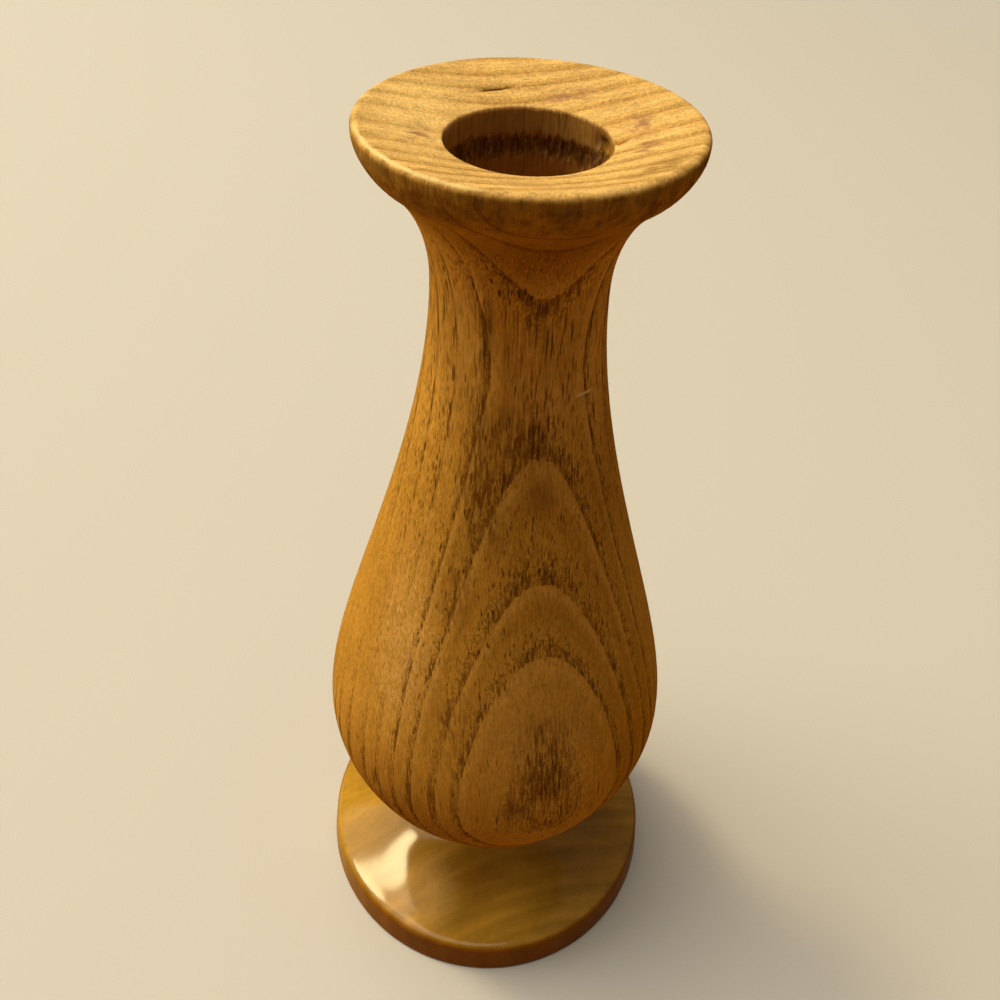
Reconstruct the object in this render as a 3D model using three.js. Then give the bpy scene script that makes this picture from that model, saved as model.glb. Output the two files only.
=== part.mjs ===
// Turned wooden bud vase: a hollow body with a flared rim, glued to a round foot by a loose dowel.
// Millimetres, +Z up. The origin is the centre of the face that the foot stands on.
import * as THREE from 'three';
import { mergeVertices } from 'three/addons/utils/BufferGeometryUtils.js';

// Overall
const vaseHeight = 150;
const facetsAround = 48;
const profileStep = 6;            // about one point of a curve in this length, and a few more
const arcStep = 22;               // degrees between the points of a rounding

// Foot: a thin disc with a slightly tapered band and a cove that rises to the seat
const footDiameter = 64.2;
const bandHeight = 6.9;
const bandTaper = 0.6;            // how much smaller the band's radius is at its top
const footLowerRounding = 0.6;
const footUpperRounding = 1.2;
const coveEdgeSlope = 9;          // degrees, where the cove leaves the band
const coveEdgeReach = 12;         // length of the curve's handle at the band
const coveSeatReach = 6.5;        // length of the curve's handle under the seat
const coveSeatSlope = 78;         // degrees, where the cove meets the seat

// Seat: the flat faces where body and foot are glued together
const seatHeight = 16;
const seatDiameter = 17;
const glueLine = 0.3;

// Dowel: a loose round tenon, let into both pieces
const dowelDiameter = 8;
const dowelDepthInFoot = 10.5;
const dowelDepthInBody = 10.5;
const dowelChamfer = 0.8;

// Body, from the seat up to the neck
const bottomSlope = 27;           // degrees, where the body leaves the seat
const bottomReach = 4.1;
const bellyDiameter = 58.1;
const bellyHeight = 48.9;
const bellyReachDown = 16.1;
const bellyReachUp = 16.5;
const neckDiameter = 22.2;
const neckDrop = 19.3;            // from the rim's crest down to the narrowest place
const neckReachDown = 26.9;
const neckReachUp = 6.4;

// Rim: a dished flange with a rounded crest
const rimDiameter = 38.9;
const crestRounding = 0.8;
const rimSideHeight = 0.4;
const undersideDrop = 5.3;        // from the crest down to the end of the sloping underside
const undersideInset = 2.2;       // from the rim's outside in to that end
const undersideSlope = 38;        // degrees
const undersideReach = 4.5;
const rimSideCurve = 0.6;         // roundness between underside and side
const dishDepth = 2.4;            // the mouth lies this much lower than the crest

// Holes: a wide drill for the mouth, a narrower one for the stems
const mouthDiameter = 19;
const mouthDepth = 10;            // at full diameter, from the mouth's edge
const mouthEdgeRounding = 0.3;
const stemHoleDiameter = 12.7;
const floorThickness = 11;        // wood between the drill's point and the dowel's hole
const drillPointAngle = 118;

const radians = THREE.MathUtils.degToRad;
const point = (radius, height) => new THREE.Vector2(radius, height);
const along = (from, degrees, length) =>
  point(from.x + length * Math.cos(radians(degrees)), from.y + length * Math.sin(radians(degrees)));

// The points of a smooth curve after its first, with two handles that set how it leaves and arrives.
function curve(from, leave, arrive, to) {
  const bezier = new THREE.CubicBezierCurve(from, leave, arrive, to);
  return bezier.getPoints(4 + Math.round(bezier.getLength() / profileStep)).slice(1);
}

function arc(centre, radius, startDegrees, endDegrees) {
  const ellipse = new THREE.EllipseCurve(
    centre.x, centre.y, radius, radius, radians(startDegrees), radians(endDegrees), false
  );
  return ellipse.getPoints(Math.ceil((endDegrees - startDegrees) / arcStep));
}

// Turns a profile of radius and height round the +Z axis.
function turned(profile) {
  const geometry = new THREE.LatheGeometry(profile, facetsAround);
  geometry.rotateX(Math.PI / 2);
  geometry.deleteAttribute('uv');
  geometry.deleteAttribute('normal');
  const merged = mergeVertices(geometry, 1e-4);
  merged.computeVertexNormals();
  return merged;
}

function piece(name, geometry, colour, roughness) {
  const material = new THREE.MeshStandardMaterial({ color: colour, roughness, metalness: 0 });
  const mesh = new THREE.Mesh(geometry, material);
  mesh.name = name;
  return mesh;
}

const seatRadius = seatDiameter / 2;
const dowelRadius = dowelDiameter / 2;
const dowelHoleRadius = dowelRadius + glueLine;
const bodyBottom = seatHeight + glueLine;
const footHoleFloor = seatHeight - dowelDepthInFoot;
const bodyHoleTop = bodyBottom + dowelDepthInBody;

function foot() {
  const outer = footDiameter / 2;
  const bandTopRadius = outer - bandTaper;
  const edgeCentre = point(bandTopRadius - footUpperRounding, bandHeight - footUpperRounding);
  const coveStart = along(edgeCentre, 90 - coveEdgeSlope, footUpperRounding);
  const coveEnd = point(seatRadius, seatHeight);
  const profile = [
    point(0, 0),
    ...arc(point(outer - footLowerRounding, footLowerRounding), footLowerRounding, -90, 0),
    ...arc(edgeCentre, footUpperRounding, 0, 90 - coveEdgeSlope),
    ...curve(
      coveStart,
      along(coveStart, 180 - coveEdgeSlope, coveEdgeReach),
      along(coveEnd, -coveSeatSlope, coveSeatReach),
      coveEnd
    ),
    point(dowelHoleRadius, seatHeight),
    point(dowelHoleRadius, footHoleFloor),
    point(0, footHoleFloor),
  ];
  return piece('foot', turned(profile), 0x9a7430, 0.28);
}

function footDowel() {
  const low = footHoleFloor + glueLine;
  const high = bodyHoleTop - glueLine;
  const profile = [
    point(0, low),
    point(dowelRadius - dowelChamfer, low),
    point(dowelRadius, low + dowelChamfer),
    point(dowelRadius, high - dowelChamfer),
    point(dowelRadius - dowelChamfer, high),
    point(0, high),
  ];
  return piece('foot_dowel', turned(profile), 0xc9a46a, 0.7);
}

// The outside of the body, from the seat to the rim's side.
function bodyOutside() {
  const rimRadius = rimDiameter / 2;
  const seat = point(seatRadius, bodyBottom);
  const belly = point(bellyDiameter / 2, bellyHeight);
  const neck = point(neckDiameter / 2, vaseHeight - neckDrop);
  const undersideEnd = point(rimRadius - undersideInset, vaseHeight - undersideDrop);
  const sideFoot = point(rimRadius, vaseHeight - crestRounding - rimSideHeight);
  const sideReach = rimSideCurve * undersideInset;
  return [
    seat,
    ...curve(seat, along(seat, bottomSlope, bottomReach), along(belly, -90, bellyReachDown), belly),
    ...curve(belly, along(belly, 90, bellyReachUp), along(neck, -90, neckReachDown), neck),
    ...curve(
      neck,
      along(neck, 90, neckReachUp),
      along(undersideEnd, 180 + undersideSlope, undersideReach),
      undersideEnd
    ),
    ...curve(
      undersideEnd,
      along(undersideEnd, undersideSlope, sideReach),
      along(sideFoot, -90, sideReach),
      sideFoot
    ),
  ];
}

// The rim's crest, the dished top and the two drilled holes, down to the drill's point.
function bodyInside() {
  const mouthRadius = mouthDiameter / 2;
  const stemHoleRadius = stemHoleDiameter / 2;
  const coneSlope = Math.tan(radians(drillPointAngle / 2));
  const crestCentre = point(rimDiameter / 2 - crestRounding, vaseHeight - crestRounding);
  const mouthHeight = vaseHeight - dishDepth;
  const mouthEdgeCentre = point(mouthRadius + mouthEdgeRounding, mouthHeight - mouthEdgeRounding);
  const dishSlope = THREE.MathUtils.radToDeg(Math.atan2(dishDepth, crestCentre.x - mouthEdgeCentre.x));
  const shoulder = mouthHeight - mouthDepth;
  const shoulderDrop = (mouthRadius - stemHoleRadius) / coneSlope;
  const drillPoint = bodyHoleTop + floorThickness;
  const stemHoleEnd = drillPoint + stemHoleRadius / coneSlope;
  return [
    ...arc(crestCentre, crestRounding, 0, 90),
    ...arc(crestCentre, crestRounding, 90, 90 + dishSlope).slice(1),
    ...arc(mouthEdgeCentre, mouthEdgeRounding, 90 + dishSlope, 180),
    point(mouthRadius, shoulder),
    point(stemHoleRadius, shoulder - shoulderDrop),
    point(stemHoleRadius, stemHoleEnd),
    point(0, drillPoint),
  ];
}

function vaseBody() {
  const profile = [
    point(0, bodyHoleTop),
    point(dowelHoleRadius, bodyHoleTop),
    point(dowelHoleRadius, bodyBottom),
    ...bodyOutside(),
    ...bodyInside(),
  ];
  return piece('vase_body', turned(profile), 0xb5802f, 0.45);
}

const vase = new THREE.Group();
vase.add(vaseBody(), foot(), footDowel());

export default vase;
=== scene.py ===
# Turned wooden bud vase on a glued foot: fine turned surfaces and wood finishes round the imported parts.
import bpy
import math
import numpy as np
from mathutils import Matrix, Vector


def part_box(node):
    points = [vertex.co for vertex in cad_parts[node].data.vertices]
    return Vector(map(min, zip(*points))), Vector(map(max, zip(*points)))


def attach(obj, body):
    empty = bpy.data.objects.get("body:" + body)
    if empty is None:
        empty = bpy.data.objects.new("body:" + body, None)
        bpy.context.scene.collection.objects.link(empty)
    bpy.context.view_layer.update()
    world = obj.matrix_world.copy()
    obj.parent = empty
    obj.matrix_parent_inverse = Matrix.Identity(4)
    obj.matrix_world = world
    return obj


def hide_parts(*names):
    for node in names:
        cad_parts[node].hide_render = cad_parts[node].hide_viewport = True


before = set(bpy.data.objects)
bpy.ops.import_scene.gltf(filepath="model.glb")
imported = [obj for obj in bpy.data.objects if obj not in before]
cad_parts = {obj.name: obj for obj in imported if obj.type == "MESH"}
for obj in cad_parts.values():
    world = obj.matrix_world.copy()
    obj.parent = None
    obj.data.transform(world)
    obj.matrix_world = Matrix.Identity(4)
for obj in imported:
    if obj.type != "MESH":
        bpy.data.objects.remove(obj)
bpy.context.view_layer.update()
mm = 0.001
bodyLow, bodyHigh = [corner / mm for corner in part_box("vase_body")]      # millimetres from here on
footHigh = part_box("foot")[1] / mm
dowelLow, dowelHigh = [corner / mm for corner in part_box("foot_dowel")]
glueGap = bodyLow.z - footHigh.z
print("frame loaded:", ", ".join(sorted(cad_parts)))


# Camera, stage and lamps, in metres

cameraLook = {
    "lens": 33.83,
    "place": (0.0, -0.10274, 0.18883),
    "down": 42.97,                 # degrees below the horizon
    "swing": 0.51,                 # degrees
    "roll": 3.23,
    "sensor": 36,
    "nearest": 0.005,
}

stageLook = {
    "paper": (0.68, 0.66, 0.62),
    "bounce": (0.34, 0.19, 0.06),  # what the stage sends back to the vase
    "roughness": 0.9,
    "specular": 0.2,
    "glow": (0.75, 0.67, 0.53),    # the paper's own light far from the vase, where few lamps reach it
    "glowFrom": 0.5,
    "glowTo": 1.5,
    "floorRadius": 5.0,
    "sweepRadius": 1.5,            # of the bend up to the backdrop
    "backdropHeight": 3.5,
    "around": 96,
}

lampLook = {                       # light is what a white card facing the lamp would send back
    "bulb": {"towards": (-0.364, 0.208, 0.908), "distance": 2.4, "size": (0.28, 0.44), "light": 0.25,
             "colour": (1.0, 0.83, 0.44)},
    "glow": {"towards": (-0.20, 0.125, 0.972), "distance": 2.4, "size": (0.24, 0.46), "light": 0.055,
             "colour": (1.0, 0.55, 0.21)},             # on the shade beside the bulb
    "ceiling": {"towards": (-0.28, 0.10, 0.95), "distance": 2.4, "size": (2.0, 2.0), "light": 0.60,
                "colour": (1.0, 0.92, 0.75)},
    "left": {"towards": (-0.89, 0.17, 0.40), "distance": 2.4, "size": (2.0, 2.0), "light": 0.43,
             "colour": (1.0, 0.93, 0.80)},
}
worldLook = {"colour": (1.0, 0.90, 0.72), "strength": 0.24}


def addCamera(look):
    camera = bpy.data.objects.new("camera", bpy.data.cameras.new("camera"))
    bpy.context.scene.collection.objects.link(camera)
    camera.data.lens = look["lens"]
    camera.data.sensor_width = look["sensor"]
    camera.data.clip_start = look["nearest"]
    swing = Matrix.Rotation(math.radians(look["swing"]), 4, "Z")
    tip = Matrix.Rotation(math.radians(90 - look["down"]), 4, "X")
    roll = Matrix.Rotation(math.radians(look["roll"]), 4, "Z")
    camera.matrix_world = Matrix.Translation(look["place"]) @ swing @ tip @ roll
    bpy.context.scene.camera = camera


def addLamp(name, look):
    light = bpy.data.lights.new(name, "AREA")
    light.shape = "ELLIPSE"
    light.size, light.size_y = look["size"]
    light.energy = look["light"] * (math.pi * look["distance"])**2
    light.color = look["colour"]
    lamp = bpy.data.objects.new(name, light)
    lamp.visible_camera = False
    bpy.context.scene.collection.objects.link(lamp)
    towards = Vector(look["towards"]).normalized()
    middle = Vector((0, 0, bodyHigh.z / 2)) * mm
    lamp.rotation_mode = "QUATERNION"
    lamp.rotation_quaternion = towards.to_track_quat("Z", "Y")
    lamp.location = middle + look["distance"] * towards


def lightWorld(look):
    world = bpy.data.worlds.new("studio")
    bpy.context.scene.world = world
    world.use_nodes = True
    background = world.node_tree.nodes["Background"]
    background.inputs["Color"].default_value = (*look["colour"], 1)
    background.inputs["Strength"].default_value = look["strength"]


addCamera(cameraLook)
for lampName, lamp in lampLook.items():
    addLamp(lampName, lamp)
lightWorld(worldLook)
bpy.context.scene.view_settings.view_transform = "Standard"
print("camera and lamps placed")


# Shader maths: a Value is a socket that takes part in sums, and a Shader makes every node

class Value:
    def __init__(self, shader, socket):
        self.shader = shader
        self.socket = socket

    def __getitem__(self, output):      # another output of the same node
        return Value(self.shader, self.socket.node.outputs[output])

    def math(self, operation, *others):
        return self.shader.node("Math", {"operation": operation}, dict(enumerate((self, *others))))

    def __add__(self, other):
        return self.math("ADD", other)

    def __sub__(self, other):
        return self.math("SUBTRACT", other)

    def __mul__(self, other):
        return self.math("MULTIPLY", other)

    def __truediv__(self, other):
        return self.math("DIVIDE", other)

    def __pow__(self, other):
        return self.math("POWER", other)

    def __rsub__(self, other):
        return self.shader.node("Math", {"operation": "SUBTRACT"}, {0: other, 1: self})

    __radd__ = __add__
    __rmul__ = __mul__


class Shader:
    def __init__(self, name):
        self.material = bpy.data.materials.new(name)
        self.material.use_nodes = True
        self.tree = self.material.node_tree
        self.tree.nodes.clear()

    def node(self, kind, settings=None, inputs=None, output=0):
        made = self.tree.nodes.new("ShaderNode" + kind)
        for key, value in (settings or {}).items():
            if key == "stops":          # of a colour ramp: places and colours
                ramp = made.color_ramp
                while len(ramp.elements) < len(value):
                    ramp.elements.new(0.5)
                for element, (place, colour) in zip(ramp.elements, value):
                    element.position = place
                    element.color = (*colour, 1)
            elif key == "bends":        # of a float curve: places and heights, joined by straight lines
                curve = made.mapping.curves[0]
                while len(curve.points) < len(value):
                    curve.points.new(0.5, 0.5)
                for point, (place, height) in zip(curve.points, value):
                    point.location = (place, height)
                    point.handle_type = "VECTOR"
                made.mapping.update()
            else:
                setattr(made, key, value)
        for key, value in (inputs or {}).items():
            if isinstance(value, Value):
                self.tree.links.new(value.socket, made.inputs[key])
            else:
                made.inputs[key].default_value = value
        return Value(self, made.outputs[output]) if made.outputs else None

    def grain(self, kind, place, size, **inputs):      # a texture stretched to this size in millimetres
        scaled = self.node("VectorMath", {"operation": "DIVIDE"}, {0: place, 1: size})
        return self.node(kind, None, {"Vector": scaled, "Scale": 1.0, **inputs})

    def noise(self, place, size, detail=2.0):          # about -0.5 to 0.5
        return self.grain("TexNoise", place, size, Detail=detail) - 0.5

    def curve(self, value, bends):
        return self.node("FloatCurve", {"bends": bends}, {"Value": value})

    def step(self, value, start, end):                 # 0 before start, 1 after end, smooth between them
        inputs = {"Value": value, "From Min": start, "From Max": end}
        return self.node("MapRange", {"interpolation_type": "SMOOTHSTEP"}, inputs)

    def mix(self, share, first, second):
        first, second = [c if isinstance(c, Value) else (*c, 1) for c in (first, second)]
        return self.node("Mix", {"data_type": "RGBA"}, {0: share, 6: first, 7: second}, 2)

    def shade(self, colour, light):                    # a colour times a number
        return self.node("VectorMath", {"operation": "SCALE"}, {0: colour, 3: light})

    def spot(self, place, centre, size, soft=0.6):     # 1 inside an ellipsoid of this half size
        away = self.node("VectorMath", {"operation": "SUBTRACT"}, {0: place, 1: centre})
        away = self.node("VectorMath", {"operation": "DIVIDE"}, {0: away, 1: size})
        return 1 - self.step(self.node("VectorMath", {"operation": "LENGTH"}, {0: away}, 1), 1 - soft, 1)

    def stroke(self, x, y, start, end, width):         # 1 on a straight line between two points, 0 beside it
        length = math.dist(start, end)
        course = ((end[0] - start[0]) / length, (end[1] - start[1]) / length)
        along = (x - start[0]) * course[0] + (y - start[1]) * course[1]
        across = ((y - start[1]) * course[0] - (x - start[0]) * course[1]).math("ABSOLUTE")
        ends = self.step(along, 0, 0.15 * length) * (1 - self.step(along, 0.6 * length, length))
        return (1 - self.step(across, 0.3 * width, width)) * ends

    def bump(self, height, depth):                     # depth in millimetres where height is 1
        return self.node("Bump", None, {"Height": height, "Distance": depth * mm, "Strength": 1.0})

    def finish(self, inputs):
        surface = self.node("BsdfPrincipled", None, inputs)
        self.node("OutputMaterial", None, {"Surface": surface})
        return self.material


# Turned shapes: a profile of radius and height, in millimetres, swept round the Z axis

def toward(start, degrees, reach):
    # the start plus reach times the cosine and sine of the angle
    return start + reach * np.array([math.cos(math.radians(degrees)), math.sin(math.radians(degrees))])


def bezier(start, leave, arrive, end, count):
    # start, two handles and end, weighted by (1-t)^3, 3t(1-t)^2, 3t^2(1-t) and t^3
    t = np.linspace(0, 1, count)[:, None]
    return (1-t)**3 * start + 3*t*(1-t)**2 * leave + 3*t*t*(1-t) * arrive + t**3 * end


def arc(centre, radius, first, last, count):
    # the centre plus radius times the cosine and sine of each angle, in degrees
    angle = np.radians(np.linspace(first, last, count))
    return np.array(centre) + radius * np.stack([np.cos(angle), np.sin(angle)], 1)


def line(start, end, count):
    return np.linspace(start, end, count)


def joined(*pieces):
    # the pieces end to end, without the points that repeat
    points = np.vstack([np.atleast_2d(piece) for piece in pieces])
    step = np.linalg.norm(np.diff(points, axis=0), axis=1)
    return points[np.append(True, step > 1e-6)]


def eased(points, corners, reach):
    # each named corner of a polyline becomes a short parabola that starts and ends reach away from it
    rows = []
    for index, point in enumerate(points):
        if index not in corners:
            rows.append(point[None])
            continue
        before = point + reach * (points[index-1] - point) / np.linalg.norm(points[index-1] - point)
        after = point + reach * (points[index+1] - point) / np.linalg.norm(points[index+1] - point)
        t = np.linspace(0, 1, 4)[:, None]
        rows.append((1-t)**2 * before + 2*t*(1-t) * point + t*t * after)
    return np.vstack(rows)


def addMesh(name, points, corners, sizes):
    # points in millimetres; corners holds every face's vertices in turn, and sizes how many each face has
    mesh = bpy.data.meshes.new(name)
    mesh.vertices.add(len(points))
    mesh.vertices.foreach_set("co", (points * mm).astype(np.float32).ravel())
    mesh.loops.add(len(corners))
    mesh.loops.foreach_set("vertex_index", corners.astype(np.int32))
    mesh.polygons.add(len(sizes))
    mesh.polygons.foreach_set("loop_start", np.append(0, np.cumsum(sizes)[:-1]).astype(np.int32))
    mesh.polygons.foreach_set("use_smooth", np.ones(len(sizes), bool))
    mesh.update(calc_edges=True)
    mesh.validate()
    piece = bpy.data.objects.new(name, mesh)
    bpy.context.scene.collection.objects.link(piece)
    return piece


def anglesOf(around):
    return np.arange(around) * 2 * np.pi / around


def swept(radius, height, angle):
    # row i, column j lies at (r_ij cos a_j, r_ij sin a_j, z_ij); the grid of their numbers comes second
    x, y = radius * np.cos(angle), radius * np.sin(angle)
    points = np.stack([x, y, height + 0 * angle], -1).reshape(-1, 3)
    return points, np.arange(len(points)).reshape(-1, len(angle))


def quadsBetween(here, above):
    # each point of a row, the one beside it, and the two above them
    return np.stack([here, np.roll(here, -1, 1), np.roll(above, -1, 1), above], -1).reshape(-1, 4)


def turned(name, profile, around, carve=None):
    # a profile of (r, z) swept round the Z axis, its first and last points being poles on the axis
    angle = anglesOf(around)
    radius, height = [np.repeat(profile[1:-1, k:k+1], around, 1) for k in (0, 1)]
    if carve:
        radius, height = carve(radius, height, angle[None, :])
    points, here = swept(radius, height, angle)
    poles = [[0, 0, profile[0, 1]], [0, 0, profile[-1, 1]]]
    beside = np.roll(here, -1, 1)
    quads = quadsBetween(here[:-1], here[1:])
    firstPole, lastPole = len(points), len(points) + 1
    firstFan = np.stack([np.full(around, firstPole), beside[0], here[0]], -1)
    lastFan = np.stack([here[-1], beside[-1], np.full(around, lastPole)], -1)
    corners = np.concatenate([quads.ravel(), firstFan.ravel(), lastFan.ravel()])
    sizes = np.concatenate([np.full(len(quads), 4), np.full(2 * around, 3)])
    return addMesh(name, np.vstack([points, poles]), corners, sizes)


def ripples(seed, angle, height, turns, pitch, count=20):
    # a sum of sine waves with seeded turns round the axis, pitch and phase, of height about 1
    random = np.random.default_rng(seed)
    total = 0
    for _ in range(count):
        wave = random.integers(turns[0], turns[1]) * angle * random.choice((-1, 1))
        rise = height * 2*np.pi / (pitch * random.uniform(0.7, 1.6))
        total = total + np.sin(wave + rise + random.uniform(0, 6.3))
    return total / math.sqrt(count)


def smooth(value, start, end):
    # 0 before start and 1 after end, with the cubic 3t^2 - 2t^3 between them
    t = np.clip((value - start) / (end - start), 0, 1)
    return t * t * (3 - 2*t)


# Body

bodyShape = {
    "around": 320,
    "seatRadius": 8.5,
    "bottomSlope": 27,             # degrees, where the body leaves the seat
    "bottomReach": 4.1,
    "bellyHeight": 48.9,
    "bellyReachDown": 16.1,
    "bellyReachUp": 16.5,
    "neckRadius": 11.1,
    "neckDrop": 19.3,              # from the crest down to the narrowest place
    "neckReachDown": 26.9,
    "neckReachUp": 6.4,
    "rimRadius": 19.45,
    "crestRounding": 0.8,
    "rimSideHeight": 0.4,
    "undersideDrop": 5.3,
    "undersideInset": 2.2,
    "undersideSlope": 38,
    "undersideReach": 4.5,
    "sideReach": 1.32,
    "dishDepth": 2.4,
    "mouthRadius": 9.5,
    "mouthDepth": 10,
    "mouthEdge": 0.3,
    "stemHoleRadius": 6.35,
    "floorThickness": 11,
    "drillSlope": 31,              # degrees, of the cone that the drill leaves
    "seatEdge": 0.25,
}

bodyWear = {
    "rimSpread": 0.3,              # how far the wood has moved out of round, to the right
    "spreadFrom": (138, 147),
    "slitStart": (-6.2, 11.3),     # an open check in the rim's top
    "slitEnd": (-1.7, 13.1),
    "slitWidth": 0.22,
    "slitDepth": 0.5,
    "chipPlace": (10.0, 0.6),      # a nick in the mouth's edge
    "chipSize": 0.7,
    "chipDepth": 0.45,
    "pocketAngle": 26,             # degrees: a torn pocket in the wall beside it
    "pocketWidth": 9,
    "pocketHeight": 145.3,
    "pocketReach": 1.1,
    "pocketDepth": 0.8,
    "tornFrom": 3.3,               # torn grain in the mouth, below its edge
    "tornTo": 5.9,
    "tornDepth": 0.3,
}


def bodyProfile(shape):
    # four curves from the seat to the rim's side, then arcs and lines over the crest and into the holes
    hole = dowelHigh.x + glueGap
    holeTop = dowelHigh.z + glueGap
    seat = np.array([shape["seatRadius"], bodyLow.z])
    belly = np.array([bodyHigh.x, shape["bellyHeight"]])
    neck = np.array([shape["neckRadius"], bodyHigh.z - shape["neckDrop"]])
    under = np.array([shape["rimRadius"] - shape["undersideInset"], bodyHigh.z - shape["undersideDrop"]])
    side = np.array([shape["rimRadius"], bodyHigh.z - shape["crestRounding"] - shape["rimSideHeight"]])
    bottom = bezier(
        seat,
        toward(seat, shape["bottomSlope"], shape["bottomReach"]),
        toward(belly, -90, shape["bellyReachDown"]),
        belly, 52)
    upper = bezier(
        belly,
        toward(belly, 90, shape["bellyReachUp"]),
        toward(neck, -90, shape["neckReachDown"]),
        neck, 90)
    flare = bezier(
        neck,
        toward(neck, 90, shape["neckReachUp"]),
        toward(under, 180 + shape["undersideSlope"], shape["undersideReach"]),
        under, 26)
    rimSide = bezier(
        under,
        toward(under, shape["undersideSlope"], shape["sideReach"]),
        toward(side, -90, shape["sideReach"]),
        side, 12)
    crest = np.array([shape["rimRadius"] - shape["crestRounding"], bodyHigh.z - shape["crestRounding"]])
    mouthHeight = bodyHigh.z - shape["dishDepth"]
    mouth = np.array([shape["mouthRadius"] + shape["mouthEdge"], mouthHeight - shape["mouthEdge"]])
    dishSlope = math.degrees(math.atan2(shape["dishDepth"], crest[0] - mouth[0]))
    crestArc = arc(crest, shape["crestRounding"], 0, 90, 8)
    dishStart = arc(crest, shape["crestRounding"], 90, 90 + dishSlope, 3)
    mouthArc = arc(mouth, shape["mouthEdge"], 90 + dishSlope, 180, 6)
    dish = line(dishStart[-1], mouthArc[0], 36)
    shoulder = mouthHeight - shape["mouthDepth"]
    fall = math.tan(math.radians(shape["drillSlope"]))
    shoulderDrop = (shape["mouthRadius"] - shape["stemHoleRadius"]) * fall
    drillPoint = holeTop + shape["floorThickness"]
    stemHoleEnd = drillPoint + shape["stemHoleRadius"] * fall
    bore = np.array([
        [shape["mouthRadius"], shoulder],
        [shape["stemHoleRadius"], shoulder - shoulderDrop],
        [shape["stemHoleRadius"], stemHoleEnd],
        [0, drillPoint],
    ])
    socket = np.array([[0, holeTop], [hole, holeTop], [hole, bodyLow.z], seat, bottom[1]])
    socket = eased(socket, (1, 2, 3), shape["seatEdge"])[:-1]
    bore = eased(np.vstack([mouthArc[-1:], bore]), (1, 2, 3), shape["seatEdge"])
    wall = line(bore[0], bore[1], 30)
    steps = line(bore[8], bore[9], 24)
    return joined(socket, bottom[2:], upper, flare, rimSide, crestArc, dishStart, dish, mouthArc,
                  wall, bore[1:9], steps, bore[9:])


def wearBody(shape, wear):
    mouthHeight = bodyHigh.z - shape["dishDepth"]

    def carve(radius, height, angle):
        # The rim moves out by the square of the angle's cosine, on the right. The mouth's wall moves out
        # between two wavy heights, and by a Gaussian of angle and height. The check and the nick sink
        # the top by Gaussians of the distance from a line and from a point.
        inside = (radius < shape["mouthRadius"] + 0.02) & (height > mouthHeight - shape["mouthDepth"])
        depth = mouthHeight - height
        spread = np.maximum(np.cos(angle), 0)**2 * smooth(height, *wear["spreadFrom"])
        radius = radius + wear["rimSpread"] * spread * smooth(radius, 9.6, 17)
        upperEdge = depth + 0.35 * ripples(3, angle, 0, (5, 60), 9)
        lowerEdge = depth + 0.5 * ripples(4, angle, 0, (5, 60), 9)
        ragged = smooth(upperEdge, wear["tornFrom"], wear["tornFrom"] + 0.4)
        ragged = ragged * (1 - smooth(lowerEdge, wear["tornTo"] - 0.8, wear["tornTo"]))
        torn = wear["tornDepth"] * ragged * (1 + 0.5 * ripples(5, angle, height, (20, 70), 3))
        around = (angle - math.radians(wear["pocketAngle"])) / math.radians(wear["pocketWidth"])
        above = (height - wear["pocketHeight"]) / wear["pocketReach"]
        pocket = wear["pocketDepth"] * np.exp(-around**2 - above**2)
        radius = np.where(inside, radius + torn + pocket, radius)
        x, y = radius * np.cos(angle), radius * np.sin(angle)
        start, end = np.array(wear["slitStart"]), np.array(wear["slitEnd"])
        length = np.linalg.norm(end - start)
        course = (end - start) / length
        share = np.clip(((x - start[0]) * course[0] + (y - start[1]) * course[1]) / length, 0, 1)
        away = np.hypot(x - start[0] - share * length * course[0], y - start[1] - share * length * course[1])
        gape = wear["slitWidth"] * (1 - 0.75 * share)
        top = (height > mouthHeight - 0.1) & (radius > shape["mouthRadius"] + 0.2)
        height = np.where(top, height - wear["slitDepth"] * np.exp(-(away / gape)**2), height)
        chip = np.hypot(x - wear["chipPlace"][0], y - wear["chipPlace"][1]) / wear["chipSize"]
        edge = (height > mouthHeight - 0.5) & (radius < 11.5)
        height = np.where(edge, height - wear["chipDepth"] * np.exp(-chip**2), height)
        return radius, height

    return carve


# Foot

footShape = {
    "around": 256,
    "bandHeight": 6.9,
    "bandTaper": 0.6,
    "lowerRounding": 0.6,
    "upperRounding": 1.2,
    "coveEdgeSlope": 9,
    "coveEdgeReach": 12,
    "coveSeatReach": 6.5,
    "coveSeatSlope": 78,
    "seatEdge": 0.25,
    "ripple": 0.012,               # how uneven the turned and varnished cove is
    "rippleFrom": (11, 14),        # radii between which it starts, and ends
    "rippleTo": (28, 30),
}


def footProfile(shape, seatRadius):
    # a line, an arc, the band's line and an arc, then one curve up the cove to the seat
    outer = footHigh.x
    hole = dowelHigh.x + glueGap
    holeFloor = dowelLow.z - glueGap
    bandTop = np.array([outer - shape["bandTaper"], shape["bandHeight"]]) - shape["upperRounding"]
    lower = np.array([outer - shape["lowerRounding"], shape["lowerRounding"]])
    upperArc = arc(bandTop, shape["upperRounding"], 0, 90 - shape["coveEdgeSlope"], 9)
    seat = np.array([seatRadius, footHigh.z])
    cove = bezier(
        upperArc[-1],
        toward(upperArc[-1], 180 - shape["coveEdgeSlope"], shape["coveEdgeReach"]),
        toward(seat, -shape["coveSeatSlope"], shape["coveSeatReach"]),
        seat, 64)
    socket = np.array([cove[-2], seat, [hole, footHigh.z], [hole, holeFloor], [0, holeFloor]])
    socket = eased(socket, (1, 2, 3), shape["seatEdge"])[1:]
    return joined(line((0, 0), (lower[0], 0), 14), arc(lower, shape["lowerRounding"], -90, 0, 6),
                  line((outer, lower[1]), upperArc[0], 8), upperArc, cove[:-2], socket)


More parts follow.
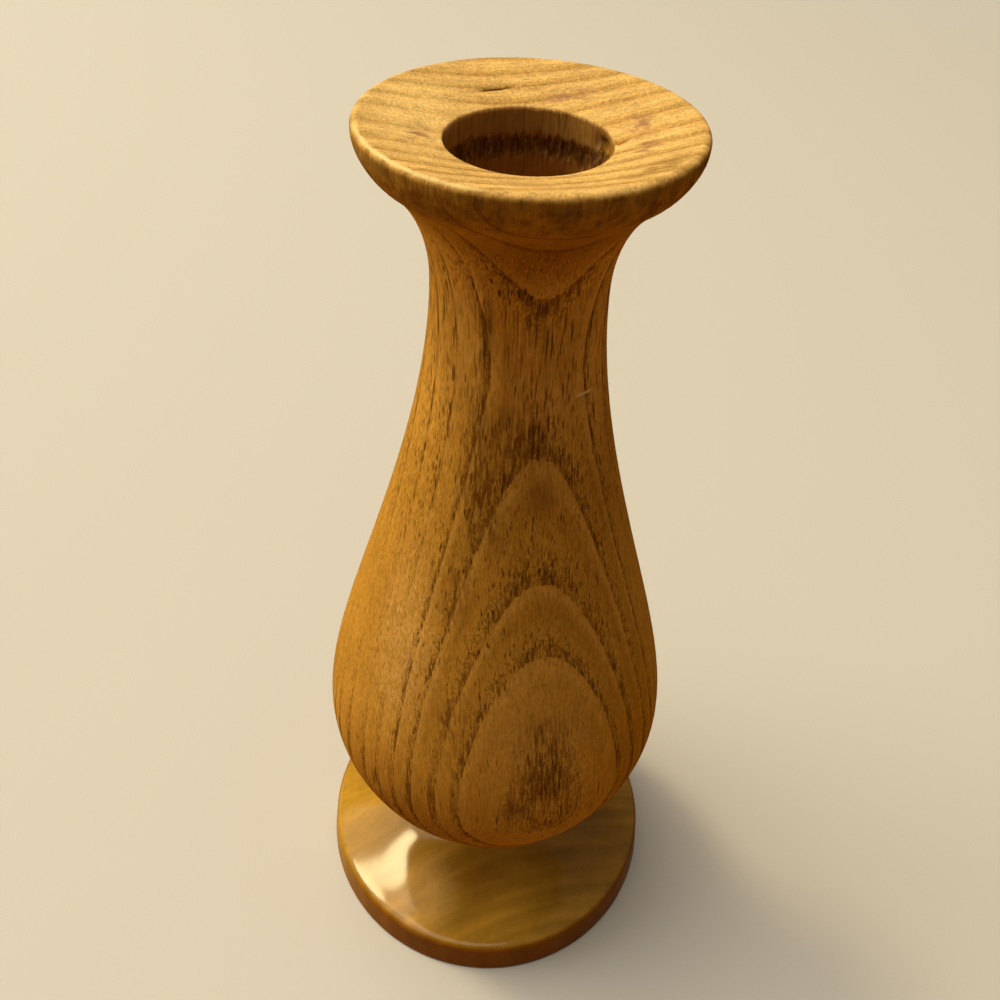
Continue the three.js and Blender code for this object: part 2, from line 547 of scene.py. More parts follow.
def waveFoot(shape):
    def carve(radius, height, angle):
        # the height plus two sums of waves, which die out at both ends of the cove; the underside stays flat
        cove = smooth(radius, *shape["rippleFrom"]) * (1 - smooth(radius, *shape["rippleTo"]))
        wave = ripples(11, angle, radius, (1, 6), 13) + 0.4 * ripples(12, angle, radius, (4, 16), 7)
        return radius, height + shape["ripple"] * cove * (height > 1) * wave

    return carve


# Glue: a thin amber bead squeezed out round the seat

glueBead = {
    "around": 128,
    "rise": 0.42,                  # half its height
    "swell": 0.30,                 # how far it stands out of the joint
    "hidden": 0.3,                 # how far in its half circle starts
    "innerSide": 0.9,
    "uneven": 0.25,
    "clouds": (0.003, 0.003, 0.003),       # metres
    "colour": (0.34, 0.150, 0.020),
    "roughness": 0.16,
}


def beadProfile(bead, seatRadius):
    # half a circle, squashed, with a flat inner side between body and foot
    middle = (footHigh.z + bodyLow.z) / 2
    angle = np.radians(np.linspace(-90, 90, 15))
    radius = seatRadius - bead["hidden"] + (bead["swell"] + bead["hidden"]) * np.cos(angle)
    outer = np.stack([radius, middle + bead["rise"] * np.sin(angle)], 1)
    innerRadius = seatRadius - bead["innerSide"]
    inner = np.array([[innerRadius, middle - glueGap / 2], [innerRadius, middle + glueGap / 2]])
    return np.vstack([inner[:1], outer, inner[1:]])


def ringed(name, profile, bead):
    # a closed profile swept round the Z axis, its outer side swelling and thinning with a sum of waves
    angle = anglesOf(bead["around"])
    inner = profile[:, :1].min()
    swell = 1 + bead["uneven"] * ripples(21, angle, 0, (1, 12), 9)
    points, here = swept(inner + (profile[:, :1] - inner) * swell, profile[:, 1:], angle)
    quads = quadsBetween(here, np.roll(here, -1, 0))
    return addMesh(name, points, quads.ravel(), np.full(len(quads), 4))


def glueMaterial(look):
    shader = Shader("amber_glue")
    place = shader.node("TexCoord")["Object"]
    clouds = shader.noise(place, look["clouds"], 2)
    colour = shader.shade(look["colour"], 1 + 0.5 * clouds)
    return shader.finish({"Base Color": colour, "Roughness": look["roughness"]})


# Wood: one trunk for the whole vase, with rings round a pith in front of it

trunk = {
    "pith": (41.3, -129.1),
    "middle": 75.0,                # the height that the three next values are measured from and over
    "lean": -8.66,
    "bow": 4.22,
    "twist": 0.05,
    "firstRing": 109.2,            # from the pith
    "ringWidths": (4.38, 2.32, 3.3, 2.75, 3.05, 3.3, 4.4, 4.3, 3.0, 2.8, 2.4, 3.0, 3.4, 3.2, 3.8, 3.4,
                   3.7, 3.5, 3.6, 2.9, 3.8, 4.0),
    "sway": 0.35,                  # how far the rings stray, slowly
    "swaySize": (14, 14, 40),
    "fray": 0.3,                   # and in their fibres
    "fraySize": (0.6, 0.6, 1.6),
    "flare": 1.0,                  # how far the rings turn out under the rim
    "flareFrom": (122, 136),
    # how crowded the pores are through one ring, from its inner edge, which is full of them
    "crowd": ((0, 1), (0.13, 0.95), (0.25, 0.65), (0.42, 0.30), (0.6, 0.12), (0.8, 0.02), (1, 0)),
    "clump": (1.1, 1.1, 8),        # of pores
    "poreCell": (0.40, 0.40, 6.5),   # long tubes, which a sloping surface cuts short
    "curlCell": (0.9, 0.9, 2.4),   # how far apart the bends of the pores are
    "curl": (0.9, 0.9, 2.4),
    "straight": (84, 104),         # the pores run straighter from here up, and on the lower belly
    "straightBelow": (56, 70),
    "lowBelly": (52, 84),          # where the rows are wider
    "row": (0.45, 0.45, 7),
    "stretch": (5, 5, 11),         # how long the rows of pores stay strong or faint
    "thread": (0.30, 0.30, 3.4),
    "speckCell": (0.22, 0.22, 3.5),
    "fine": (0.17, 0.17, 5),       # fibres, and the lighter and darker places among them
    "short": (0.34, 0.34, 1.3),
    "broad": (1.1, 1.4, 26),
    "cloud": (8, 8, 12),
    "curls": (1.4, 1.4, 1.7),
}

bodyWood = {
    "figure": ((0.0, (0.64, 0.325, 0.044)), (0.12, (0.64, 0.322, 0.043)), (0.40, (0.60, 0.300, 0.038)),
               (0.66, (0.54, 0.262, 0.032)), (0.80, (0.60, 0.300, 0.040)), (0.90, (0.69, 0.365, 0.062)),
               (1.0, (0.66, 0.340, 0.050))),
    "endFigure": ((0.0, (0.62, 0.350, 0.095)), (0.25, (0.72, 0.435, 0.132)), (0.6, (0.84, 0.535, 0.180)),
                  (0.85, (0.78, 0.480, 0.155)), (1.0, (0.66, 0.385, 0.110))),
    "dishFall": 0.271,             # of the rim's top toward the mouth, for each millimetre of radius
    "endGrain": (144.42, 144.72),  # height, less that fall, from which the end grain shows
    "endGrainOut": (0.6, 13, 17),  # how much lower it begins on the crest, from and to which radius
    "flankRadius": (14.5, 18.2),   # the rim's side
    "flankHeight": (142.5, 147.0),
    "underRadius": (12.6, 14.5),   # below the rim
    "underHeight": (134, 141),
    # painted shade below the rim
    "underShade": 0.22,
    "crestLine": (1.0, 0.76, 0.33),  # a painted highlight along the rim's edge, at the front left
    "crestRadius": 19.0,
    "crestWidth": (0.08, 0.28),
    "crestRight": (-7, -2),        # the x and y at which it ends
    "crestBack": (-9, -2),
    "seamShare": 0.65,             # a thin line where each ring starts, on the neck
    "plain": (0.64, 0.320, 0.042),  # between the rings' lines, away from the arches
    "calm": (121.3, 124.0),
    "calmShare": 0.85,
    "pore": (0.080, 0.024, 0.003),
    "poreStrength": 0.85,
    "poreDepth": 0.05,
    "speckShade": 0.26,
    "row": (0.165, 0.064, 0.007),  # the rows of pores that start each ring
    "rowShare": 0.76,
    "rowLess": (121.8, 123.5),     # fainter rows beyond this depth, except on the lower belly
    "rowBelly": (44, 68),
    "fibre": 0.72,
    "broad": 0.40,
    "cloud": 0.32,
    "curlShare": 0.5,
    "redLine": (0.17, 0.044, 0.006),
    "slitStain": 0.35,             # half the width of the painted shade in the check
    "scratch": ((9.9, 119.4), (7.3, 119.85)),        # x and z on the front of the neck
    "scratchWidth": 0.30,
    "scratchColour": (0.90, 0.72, 0.36),
    "thread": (0.20, 0.080, 0.010),
    "threadShare": 0.55,
    "paleThread": (0.80, 0.47, 0.13),
    "paleShare": 0.40,
    "waves": 0.8,                  # across the end grain
    "waveSize": (0.5, 4.0, 12),
    "flecks": 0.75,
    "fleckSize": (0.45, 0.3, 2),
    "roughness": 0.55,
    "specular": 0.0,               # matt
    # where more pores crowd: centre, half size, and how many more
    "crowded": (
        ((0.2, -12.0, 134.4), (5.0, 3.0, 3.2), 0.9),       # below the apex of the V under the rim
        ((3.8, -11.0, 132.0), (4.2, 4.0, 3.4), 1.8),
        ((-4.0, -11.5, 138.0), (2.6, 3.0, 4.5), 0.5),
        ((-3.6, -10.8, 129.0), (1.6, 3.0, 9.0), 1.2),
        ((0.5, -12.8, 115.5), (8.5, 5.0, 9.5), 1.3),       # over the third arch
        ((-2.6, -14.5, 104.5), (2.8, 4.0, 8.0), 1.0),      # down the left of its leg
        ((-5.2, -16.5, 95.5), (3.2, 4.0, 9.0), 1.5),
        ((-7.8, -18.8, 86.5), (3.4, 4.0, 9.0), 1.5),
        ((-9.4, -21.0, 79.0), (2.8, 4.0, 7.0), 0.9),
        ((9.8, -11.5, 104.4), (1.8, 3.0, 7.0), 0.6),
        ((6.5, -16.5, 94.8), (5.5, 4.0, 3.4), 0.55),       # over the second arch and down its left
        ((-0.5, -19.8, 87.5), (3.0, 4.0, 6.0), 0.7),
        ((13.8, -15.0, 85.5), (2.0, 4.0, 6.0), 0.6),
        ((7.5, -20.0, 82.0), (5.5, 4.0, 2.8), 0.8),        # over the first one
        ((0.2, -22.8, 77.5), (3.4, 4.0, 4.5), 0.9),
        ((8.4, -25.0, 65.0), (4.6, 5.0, 7.0), 0.4),        # the eye
    ),
    "neckPores": 0.75,             # more pores from here up than the rings alone would give
    "neckFrom": (84, 108),
    "neckTo": (132, 138),
    "flankTint": (0.36, 0.175, 0.024),             # the rim's side, and the grime on it
    "grime": (0.075, 0.028, 0.003),
    "grimeShare": 0.8,
    "dashSize": (0.5, 0.5, 2.6),   # in the grime
    "mottleSize": (1.5, 1.5, 1.2),
    "raggedSize": (1.1, 1.1, 3),   # of the end grain's edge
    "streakSize": (0.5, 0.5, 8),   # breaks up the shades and marks
    "blotchSize": (2.0, 1.5, 2.6),
}

boreWood = {
    "radius": (9.9, 10.2),         # nearer to the axis than this
    "height": (38, 39),            # and above this
    "upper": (0.40, 0.205, 0.046),
    "torn": (0.115, 0.044, 0.011),
    "tornShare": 0.8,
    "lower": (0.35, 0.148, 0.022),
    "lowerFrom": (4.2, 5.4),
    "right": (0.53, 0.262, 0.056),
    "rightShare": 0.6,
    "rightFrom": (3.5, 9.3),
    "fibre": (0.58, 0.33, 0.11),
    "tornFrom": (2.9, 3.9),        # below the mouth's edge
    "tornTo": (5.0, 6.6),
    "ragged": 2.6,
    "raggedSize": (0.45, 0.45, 5),
    "threads": (0.35, 0.35, 7),
    "pocket": {"at": (8.8, 4.2, 145.3), "size": (1.8, 1.9, 1.7), "colour": (0.055, 0.020, 0.006)},
    "splinter": {"from": (5.6, 143.4), "to": (5.3, 146.6), "width": 0.22},     # y and z on the right wall
}

# Wood tones, painted sheen, painted shade, and wear: centre, half size, colour, share, and how far the
# fibres and blotches break it up.
# The first ones are broad and lie below the pores, the others lie over them.
bodyTonesAndPaintedLight = (
    ((5.5, -11.5, 122.0), (9.0, 6.0, 22.0), (0.86, 0.480, 0.110), 0.75, 0.2, 0.2),      # paler neck wood with a painted sheen
    ((9.5, -6.5, 124.0), (5.0, 6.0, 26.0), (0.90, 0.520, 0.120), 0.60, 0.2, 0.2),
    ((-5.5, -10.0, 127.0), (6.0, 5.0, 15.0), (0.84, 0.460, 0.090), 0.55, 0.3, 0.2),
    # painted light on the lit left of the neck
    ((-10.5, -5.5, 120.0), (6.0, 9.0, 21.0), (0.86, 0.440, 0.070), 0.60, 0.2, 0.0),
    ((7.0, -24.0, 68.0), (14.0, 9.0, 24.0), (0.78, 0.420, 0.090), 0.55, 0.2, 0.2),      # paler belly wood with a painted sheen
    ((-14.0, -18.0, 82.0), (8.0, 10.0, 36.0), (0.86, 0.500, 0.150), 0.70, 0.5, 0.3),    # painted sheen down the left
    ((-25.0, -12.0, 62.0), (10.0, 12.0, 26.0), (0.66, 0.320, 0.045), 0.45, 0.0, 0.2),
    ((-14.0, -22.0, 40.0), (24.0, 20.0, 27.0), (0.32, 0.110, 0.003), 0.80, 0.3, 0.0),   # painted shade on the lower belly
    ((6.0, -26.0, 34.0), (18.0, 16.0, 10.0), (0.40, 0.150, 0.004), 0.50, 0.1, 0.0),
    ((22.0, -14.0, 50.0), (13.0, 16.0, 34.0), (0.52, 0.220, 0.004), 0.75, 0.1, 0.0),    # warmer right side
    ((3.0, -13.0, 141.0), (15.0, 9.0, 8.5), (0.30, 0.120, 0.008), 0.75, 0.1, 0.2),      # painted shade below the rim
    ((-13.0, 2.0, 148.6), (11.0, 17.0, 3.0), (1.00, 0.700, 0.260), 0.75, 0.0, 0.4),     # painted sheen on the rim's top, left
)
bodyMarks = (
    ((1.5, -12.8, 115.0), (8.0, 4.0, 8.5), (0.18, 0.068, 0.008), 0.80, 0.8, 0.2),       # over the third arch
    ((3.4, -10.9, 132.8), (3.2, 2.5, 2.2), (0.15, 0.042, 0.006), 0.85, 0.9, 0.3),       # below the V
    ((-4.2, -12.8, 111.0), (3.2, 4.0, 14.0), (0.20, 0.078, 0.009), 0.70, 0.9, 0.2),
    ((3.0, -11.2, 126.0), (4.0, 2.6, 8.0), (0.24, 0.100, 0.014), 0.30, 1.0, 0.2),
    ((4.6, -13.8, 107.0), (4.0, 3.0, 5.5), (0.23, 0.090, 0.012), 0.55, 0.1, 0.3),       # cloud in the arch
    ((8.4, -25.0, 62.0), (6.8, 7.0, 12.5), (0.15, 0.047, 0.005), 0.62, 1.0, 0.0),       # eye on the belly
    ((7.6, -24.0, 67.0), (7.0, 6.0, 9.0), (0.22, 0.092, 0.011), 0.60, 0.7, 0.2),
    ((4.0, -27.8, 53.6), (3.2, 4.0, 2.4), (0.13, 0.036, 0.004), 0.60, 0.4, 0.2),
    ((9.0, -26.6, 57.0), (2.8, 4.0, 3.2), (0.14, 0.044, 0.006), 0.35, 0.6, 0.2),
    ((-3.0, -14.5, 104.5), (4.0, 5.0, 13.0), (0.17, 0.064, 0.007), 0.85, 0.7, 0.3),     # left of the arches
    ((-6.2, -17.5, 91.0), (3.6, 5.0, 11.0), (0.21, 0.084, 0.010), 0.70, 0.7, 0.3),
    ((-5.6, -24.0, 68.0), (8.0, 6.0, 13.0), (0.24, 0.094, 0.008), 0.55, 1.0, 0.0),      # low on the left
    ((-3.3, -10.8, 128.5), (1.1, 2.5, 8.0), (0.12, 0.036, 0.006), 0.85, 0.4, 0.4),      # streak on the neck
    ((-10.7, -16.3, 148.0), (0.9, 0.9, 1.8), (0.24, 0.045, 0.012), 0.60, 0.2, 0.3),     # red spot
    ((5.8, -18.5, 148.5), (5.0, 2.0, 0.8), (0.24, 0.135, 0.085), 0.60, 0.4, 0.4),
    ((15.0, -11.5, 149.4), (7.0, 8.0, 0.9), (0.25, 0.125, 0.025), 0.80, 0.0, 0.7),
    ((19.0, 0.0, 149.4), (2.0, 9.0, 0.8), (0.30, 0.150, 0.030), 0.70, 0.0, 0.6),
    ((12.5, 3.6, 148.0), (3.4, 4.6, 2.0), (0.40, 0.200, 0.095), 1.00, 0.0, 0.9),        # worn patches on it
    ((12.6, -2.2, 148.0), (3.6, 3.4, 2.0), (0.38, 0.185, 0.085), 1.00, 0.0, 0.9),
    ((5.2, 11.6, 148.0), (7.0, 2.6, 2.0), (0.44, 0.225, 0.105), 0.95, 0.0, 0.9),
    ((-12.4, -2.2, 148.0), (3.0, 4.6, 2.0), (0.40, 0.205, 0.095), 0.95, 0.0, 0.9),
    ((2.0, -15.5, 148.6), (12.0, 3.6, 1.4), (0.52, 0.30, 0.105), 0.70, 0.0, 0.6),       # tan along the front
    ((10.4, 0.4, 147.8), (1.0, 0.7, 0.8), (0.22, 0.055, 0.015), 0.70, 0.0, 0.0),        # nick
)

footWood = {
    "figure": ((0.0, (0.40, 0.204, 0.019)), (0.5, (0.36, 0.182, 0.016)), (0.8, (0.43, 0.220, 0.022)),
               (1.0, (0.40, 0.204, 0.019))),
    # painted light and shadow on it: light on the lit left, a sheen beside the highlight, and the belly's
    # shadow; centre, half size, colour and share
    "places": (
        ((-26, -5, 5), (21, 24, 12), (0.62, 0.335, 0.022), 0.8),
        ((-10.5, -21.5, 8), (8, 10, 6), (0.70, 0.400, 0.100), 0.9),
        ((-1.5, -17.5, 9), (11, 8, 6), (0.13, 0.030, 0.002), 0.4),
    ),
    "smudge": 0.75,                # broad soft bands that follow the rings
    "smudgeSize": (3.2, 15, 10),
    "pore": (0.16, 0.075, 0.012),
    "poreStrength": 0.25,
    "poreDepth": 0.012,
    "speckShade": 0.10,
    "fibre": 0.16,
    "broad": 0.25,
    "cloud": 0.65,
    "roughness": 0.36,
    "coat": 0.42,
    "specular": 0.02,
    "coatRoughness": 0.085,
    "lumps": 5,                    # in the varnish, times the depth of the pores
    "lumpSize": (2.4, 2.4, 2.4),
    "bandFrom": (30.6, 31.3),
    # painted shade on the foot's outer band
    "bandTint": (0.24, 0.066, 0.001),
    "bandShare": 0.8,
}


def woodFigure(shader, look):
    # colour, pores and fibres of the trunk at each point, and the point itself in millimetres
    place = shader.node("TexCoord")["Object"]
    place = shader.node("VectorMath", {"operation": "SCALE"}, {0: place, 3: 1 / mm})
    point = shader.node("SeparateXYZ", None, {0: place})
    x, y, z = point["X"], point["Y"], point["Z"]
    fromPith = ((x - trunk["pith"][0])**2 + (y - trunk["pith"][1])**2)**0.5
    up = (z - trunk["middle"]) / trunk["middle"]
    depth = fromPith + up * (trunk["lean"] + up * trunk["bow"] + x * trunk["twist"])
    turn = (y - trunk["pith"][1]).math("ARCTAN2", x - trunk["pith"][0]) * math.hypot(*trunk["pith"])
    fibres = shader.node("CombineXYZ", None, {0: depth, 1: turn, 2: z})
    depth = depth - trunk["flare"] * shader.step(z, *trunk["flareFrom"])
    frayed = depth + trunk["sway"] * shader.noise(place, trunk["swaySize"], 1) \
        + trunk["fray"] * shader.noise(fibres, trunk["fraySize"], 2)
    edges = trunk["firstRing"] + np.cumsum((0,) + trunk["ringWidths"])
    span = edges[-1] - edges[0]
    count = len(trunk["ringWidths"])
    bends = [((edge - edges[0]) / span, index / count) for index, edge in enumerate(edges)]
    phase = (count * shader.curve((frayed - edges[0]) / span, bends)).math("FRACT")

    early = shader.curve(phase, trunk["crowd"])
    clump = shader.noise(fibres, trunk["clump"], 2)
    crowd = early * (1 + 2.6 * clump)
    for centre, size, more in look.get("crowded", ()):
        crowd = crowd + shader.spot(place, centre, size, 0.9) * (0.7 + 2.4 * clump) * more
    if "neckPores" in look:
        neck = shader.step(z, *look["neckFrom"]) * (1 - shader.step(z, *look["neckTo"]))
        neck = neck * (1 - shader.step(phase, 0.6, 0.85))
        crowd = crowd + look["neckPores"] * neck * (0.5 + 2.2 * clump)
    sideways = shader.grain("TexNoise", fibres, trunk["curlCell"], Detail=1.0)["Color"]
    sideways = shader.node("VectorMath", {"operation": "SUBTRACT"}, {0: sideways, 1: (0.5, 0.5, 0.5)})
    upright = shader.step(z, *trunk["straight"]) + 1 - shader.step(z, *trunk["straightBelow"])
    sideways = shader.shade(sideways, 1 - 0.75 * upright)
    bend = {0: sideways, 1: trunk["curl"], 2: fibres}
    bent = shader.node("VectorMath", {"operation": "MULTIPLY_ADD"}, bend)
    cells = shader.grain("TexVoronoi", bent, trunk["poreCell"])
    chance = shader.node("SeparateXYZ", None, {0: cells["Color"]})
    poreSize = 0.24 + 0.10 * early + 0.16 * chance["Y"]
    pores = (1 - shader.step(cells["Distance"] / poreSize, 0.65, 1.0)) \
        * shader.step(crowd - chance["X"], -0.03, 0.03) * (0.55 + 0.45 * chance["Z"])
    small = shader.grain("TexVoronoi", fibres, trunk["speckCell"])
    smallChance = shader.node("SeparateXYZ", None, {0: small["Color"]})
    specks = (1 - shader.step(small["Distance"], 0.18, 0.40)) \
        * shader.step(0.10 + 0.8 * crowd - smallChance["X"], -0.05, 0.05)

    fine = shader.noise(fibres, trunk["fine"], 3)
    short = shader.noise(fibres, trunk["short"], 2)
    broad = shader.noise(fibres, trunk["broad"], 3)
    cloud = shader.noise(place, trunk["cloud"], 3)
    light = 1 + look["fibre"] * (fine + 0.8 * short) + look["broad"] * broad + look["cloud"] * cloud
    low = 1 - shader.step(z, *trunk["lowBelly"])
    rows = (1 - shader.step(phase - 0.13 * low, 0.08, 0.22)) \
        * (0.08 + 0.92 * shader.step(shader.noise(bent, trunk["row"], 2) + 0.05 * low, -0.04, 0.06)) \
        * (0.30 + 0.70 * shader.step(shader.noise(place, trunk["stretch"], 2), -0.10, 0.06))
    seams = (1 - shader.step((phase - 0.05).math("ABSOLUTE"), 0.02, 0.10)) * (0.45 + 1.6 * clump)
    curl = shader.noise(place, trunk["curls"], 2).math("ABSOLUTE")
    curls = (1 - shader.step(curl, 0.012, 0.05)) * (1 - shader.step(phase, 0.22, 0.42))
    light = light - look["speckShade"] * specks
    thread = shader.noise(fibres, trunk["thread"], 3)
    height = 0.3 * fine - pores - 0.3 * specks
    radius = (x * x + y * y)**0.5
    return {"place": place, "x": x, "y": y, "z": z, "radius": radius, "depth": depth, "fibres": fibres,
            "phase": phase, "pores": pores, "rows": rows, "seams": seams, "curls": curls, "light": light,
            "fine": fine, "short": short, "thread": thread, "height": height}


def bodyMaterial(look, bore, shades, marks):
    shader = Shader("oiled_body_wood")
    wood = woodFigure(shader, look)
    place, x, y, z, radius = wood["place"], wood["x"], wood["y"], wood["z"], wood["radius"]
    mottle = shader.noise(place, look["mottleSize"], 3)
    ragged = (0.35 + 0.75 * shader.step(x, 2, 12)) * shader.noise(place, look["raggedSize"], 3)
    lowest, highest = look["endGrain"]
    lower, innerRadius, outerRadius = look["endGrainOut"]
    crestEdge = lowest - lower * shader.step(radius, innerRadius, outerRadius)
    top = shader.step(z - look["dishFall"] * radius + ragged, crestEdge, highest)     # up to the crest
    inside = (1 - shader.step(radius, *bore["radius"])) * shader.step(z, *bore["height"]) * (1 - top)
    flank = shader.step(radius, *look["flankRadius"]) * shader.step(z, *look["flankHeight"]) * (1 - top)

    side = shader.node("ValToRGB", {"stops": look["figure"]}, {0: wood["phase"]})
    under = shader.step(radius, *look["underRadius"]) * shader.step(z, *look["underHeight"]) * (1 - top)
    calm = look["calmShare"] * shader.step(wood["depth"], *look["calm"])
    calm = calm.math("MAXIMUM", 0.6 * (1 - shader.step(z, *trunk["lowBelly"]))).math("MAXIMUM", under)
    # plainer wood below the rim, with painted shade over it
    side = shader.shade(shader.mix(calm, side, look["plain"]), 1 - look["underShade"] * under)
    redLine = under * (1 - shader.step((wood["phase"] - 0.07).math("ABSOLUTE"), 0.03, 0.13))
    redLine = redLine * (1 - shader.step(x.math("ABSOLUTE"), 6, 12)) * (0.7 + 1.6 * wood["thread"])
    side = shader.mix(0.75 * redLine, side, look["redLine"])
    end = shader.node("ValToRGB", {"stops": look["endFigure"]}, {0: wood["phase"]})
    waves = shader.noise(wood["fibres"], look["waveSize"], 3)
    flecks = shader.noise(place, look["fleckSize"], 3)
    colour = shader.mix(top, side, shader.shade(end, 1 + look["waves"] * waves + look["flecks"] * flecks))
    dashes = shader.noise(place, look["dashSize"], 2)
    grime = flank * (0.3 + 2.0 * mottle + 0.9 * dashes).math("MAXIMUM", 0)
    colour = shader.mix(flank * 0.5, colour, look["flankTint"])
    colour = shader.mix(grime * look["grimeShare"], colour, look["grime"])

    uneven = bore["ragged"] * shader.noise(place, bore["raggedSize"], 2)
    below = bodyHigh.z - bodyShape["dishDepth"] - z + uneven
    torn = shader.step(below, *bore["tornFrom"]) * (1 - shader.step(below, *bore["tornTo"]))
    wall = shader.mix(shader.step(below, *bore["lowerFrom"]), bore["upper"], bore["lower"])
    wall = shader.mix(shader.step(x, *bore["rightFrom"]) * bore["rightShare"], wall, bore["right"])
    threads = shader.noise(place, bore["threads"], 3)
    wall = shader.mix(torn * bore["tornShare"] * (0.95 - 2.2 * threads), wall, bore["torn"])
    wall = shader.mix(shader.step(threads, 0.09, 0.2) * 0.35, wall, bore["fibre"])
    pocket, splinter = bore["pocket"], bore["splinter"]
    wall = shader.mix(shader.spot(place, pocket["at"], pocket["size"]) * 0.9, wall, pocket["colour"])
    sliver = shader.stroke(y, z, splinter["from"], splinter["to"], splinter["width"]) * shader.step(x, 4, 5)
    wall = shader.mix(sliver, wall, bore["fibre"])
    colour = shader.mix(inside, colour, wall)

    streaks = shader.step(shader.noise(wood["fibres"], look["streakSize"], 2), -0.05, 0.08)
    blotches = shader.step(shader.noise(place, look["blotchSize"], 3), -0.05, 0.10)

    # mixes in stains and wear, and painted light and shade, each over an ellipsoid
    def stainsAndPaintedLight(colour, spots):
        for centre, size, tint, share, streaky, blotchy in spots:
            broken = (1 - streaky + streaky * streaks) * (1 - blotchy + blotchy * blotches)
            share = shader.spot(place, centre, size, 0.9) * broken * share
            colour = shader.mix(share * (1 + 1.2 * wood["short"]), colour, tint)
        return colour

    # broad wood tones, painted sheen and painted shade, below the pores
    colour = shader.shade(stainsAndPaintedLight(colour, shades), wood["light"])
    faint = shader.step(wood["depth"], *look["rowLess"]) * shader.step(z, *look["rowBelly"])
    clear = (1 - 0.8 * top) * (1 - inside) * (1 - 0.85 * under)
    colour = shader.mix(wood["rows"] * look["rowShare"] * (1 - 0.88 * faint) * clear, colour, look["row"])
    colour = shader.mix(wood["curls"] * look["curlShare"] * (1 - faint) * clear, colour, look["row"])
    neck = shader.step(z, *look["neckFrom"]) * clear
    colour = shader.mix(wood["seams"] * look["seamShare"] * neck, colour, look["row"])
    streaked = (0.55 + 0.45 * shader.step(z, *look["neckFrom"])) * clear
    dark = shader.step(wood["thread"], 0.05, 0.17) * look["threadShare"]
    pale = (1 - shader.step(wood["thread"], -0.18, -0.06)) * look["paleShare"]
    colour = shader.mix(dark * streaked, colour, look["thread"])
    colour = shader.mix(pale * streaked, colour, look["paleThread"])
    pores = wood["pores"] * (1 - 0.8 * top) * (1 - 0.5 * inside) * (1 - 0.8 * under)
    fewer = 0.85 * calm * (1 - shader.step(z, *look["neckFrom"])) * shader.step(z, *look["rowBelly"])
    colour = shader.mix(pores * (1 - fewer) * look["poreStrength"], colour, look["pore"])
    colour = stainsAndPaintedLight(colour, marks)
    # painted highlight along the crest, at the front left
    fromCrest = (radius - look["crestRadius"] + 0.3 * mottle).math("ABSOLUTE")
    crest = (1 - shader.step(fromCrest, *look["crestWidth"])) * top * (0.85 + 1.4 * mottle)
    crest = crest * (1 - shader.step(x, *look["crestRight"])) * (1 - shader.step(y, *look["crestBack"]))
    colour = shader.mix(crest, colour, look["crestLine"])
    # painted shade in the check
    slit = shader.stroke(x, y, bodyWear["slitStart"], bodyWear["slitEnd"], look["slitStain"])
    colour = shader.mix(slit * shader.step(z, 146, 147) * 0.95, colour, look["pore"])
    scratch = shader.stroke(x, z, *look["scratch"], look["scratchWidth"]) * (1 - shader.step(y, -4, -3))
    colour = shader.mix(scratch * 0.9, colour, look["scratchColour"])
    rough = look["roughness"] + 0.2 * wood["pores"] + 0.12 * top + 0.2 * inside - 0.1 * wood["fine"]
    return shader.finish({
        "Base Color": colour,
        "Roughness": rough,
        "Specular IOR Level": look["specular"],
        "Normal": shader.bump(wood["height"], look["poreDepth"]),
    })


def footMaterial(look):
    shader = Shader("varnished_foot_wood")
    wood = woodFigure(shader, look)
    band = shader.step(wood["radius"], *look["bandFrom"])
    colour = shader.node("ValToRGB", {"stops": look["figure"]}, {0: wood["phase"]})
    # painted shade on the band
    colour = shader.mix(band * look["bandShare"], colour, look["bandTint"])
    # painted light, sheen and shadow on the foot
    for centre, size, tint, share in look["places"]:
        colour = shader.mix(share * shader.spot(wood["place"], centre, size, 1.0), colour, tint)
    smudge = shader.noise(wood["fibres"], look["smudgeSize"], 2)
    colour = shader.shade(colour, wood["light"] + look["smudge"] * smudge)
    colour = shader.mix(wood["pores"] * look["poreStrength"], colour, look["pore"])
    lumps = shader.noise(wood["place"], look["lumpSize"], 2)
    return shader.finish({
        "Base Color": colour,
        "Roughness": look["roughness"],
        "Specular IOR Level": look["specular"],
        "Coat Weight": look["coat"] * (1 - band),
        "Coat Roughness": look["coatRoughness"],
        "Normal": shader.bump(wood["height"] + look["lumps"] * lumps, look["poreDepth"]),
    })


dowelWood = {
    "pale": (0.62, 0.42, 0.22),
    "dark": (0.48, 0.30, 0.14),
    "streaks": (0.0004, 0.0004, 0.02),     # metres
    "roughness": 0.7,
}


def dowelMaterial(look):
    shader = Shader("plain_dowel_wood")
    place = shader.node("TexCoord")["Object"]
    streaks = shader.noise(place, look["streaks"], 3)
    colour = shader.mix(streaks + 0.5, look["pale"], look["dark"])
    return shader.finish({"Base Color": colour, "Roughness": look["roughness"]})


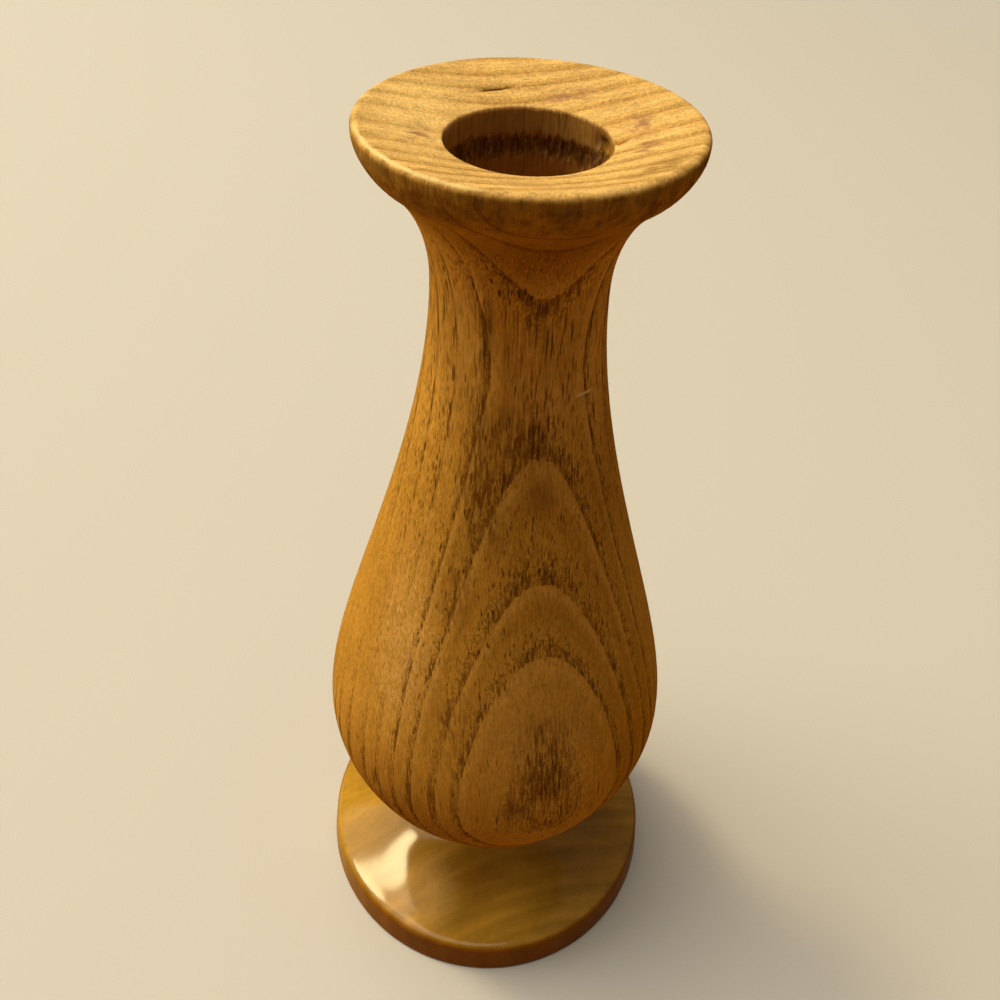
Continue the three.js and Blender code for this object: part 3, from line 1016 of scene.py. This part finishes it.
def stageMaterial(look):
    shader = Shader("stage_paper")
    path = shader.node("LightPath")
    seen = path["Is Camera Ray"] + path["Is Glossy Ray"] + path["Is Transmission Ray"]
    away = shader.node("VectorMath", {"operation": "LENGTH"}, {0: shader.node("TexCoord")["Object"]}, 1)
    far = seen * shader.step(away, look["glowFrom"], look["glowTo"])
    colour = shader.mix(seen, look["bounce"], look["paper"])
    return shader.finish({
        "Base Color": shader.shade(colour, 1 - far),
        "Roughness": look["roughness"],
        "Specular IOR Level": look["specular"],
        "Emission Color": shader.shade(look["glow"], far),
        "Emission Strength": 1.0,
    })


def addStage(look):
    # a line, a quarter circle and a line, swept: a round floor that bends up into a backdrop
    bendCentre = np.array([look["floorRadius"], look["sweepRadius"]])
    bend = arc(bendCentre, look["sweepRadius"], -90, 0, 16)
    backdrop = line(bend[-1], (bend[-1][0], look["backdropHeight"]), 4)
    rows = joined(line((0.01, 0), bend[0], 12), bend, backdrop) / mm
    points, here = swept(rows[:, :1], rows[:, 1:], anglesOf(look["around"]))
    quads = quadsBetween(here[1:], here[:-1])
    middle = here[0]
    sizes = np.append(np.full(len(quads), 4), len(middle))
    floor = addMesh("floor", points, np.concatenate([quads.ravel(), middle]), sizes)
    floor.data.materials.append(stageMaterial(look))


addStage(stageLook)

wornAway = wearBody(bodyShape, bodyWear)
body = turned("turned_body", bodyProfile(bodyShape), bodyShape["around"], wornAway)
body.data.materials.append(bodyMaterial(bodyWood, boreWood, bodyTonesAndPaintedLight, bodyMarks))
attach(body, "root")
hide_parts("vase_body")
print("body turned:", len(body.data.polygons), "faces")

footLine = footProfile(footShape, bodyShape["seatRadius"])
foot = turned("turned_foot", footLine, footShape["around"], waveFoot(footShape))
foot.data.materials.append(footMaterial(footWood))
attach(foot, "root")
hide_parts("foot")
print("foot turned:", len(foot.data.polygons), "faces")

glue = ringed("glue_bead", beadProfile(glueBead, bodyShape["seatRadius"]), glueBead)
glue.data.materials.append(glueMaterial(glueBead))
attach(glue, "root")
print("glue bead laid:", len(glue.data.polygons), "faces")

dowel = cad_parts["foot_dowel"]
dowel.data.materials.clear()
dowel.data.materials.append(dowelMaterial(dowelWood))
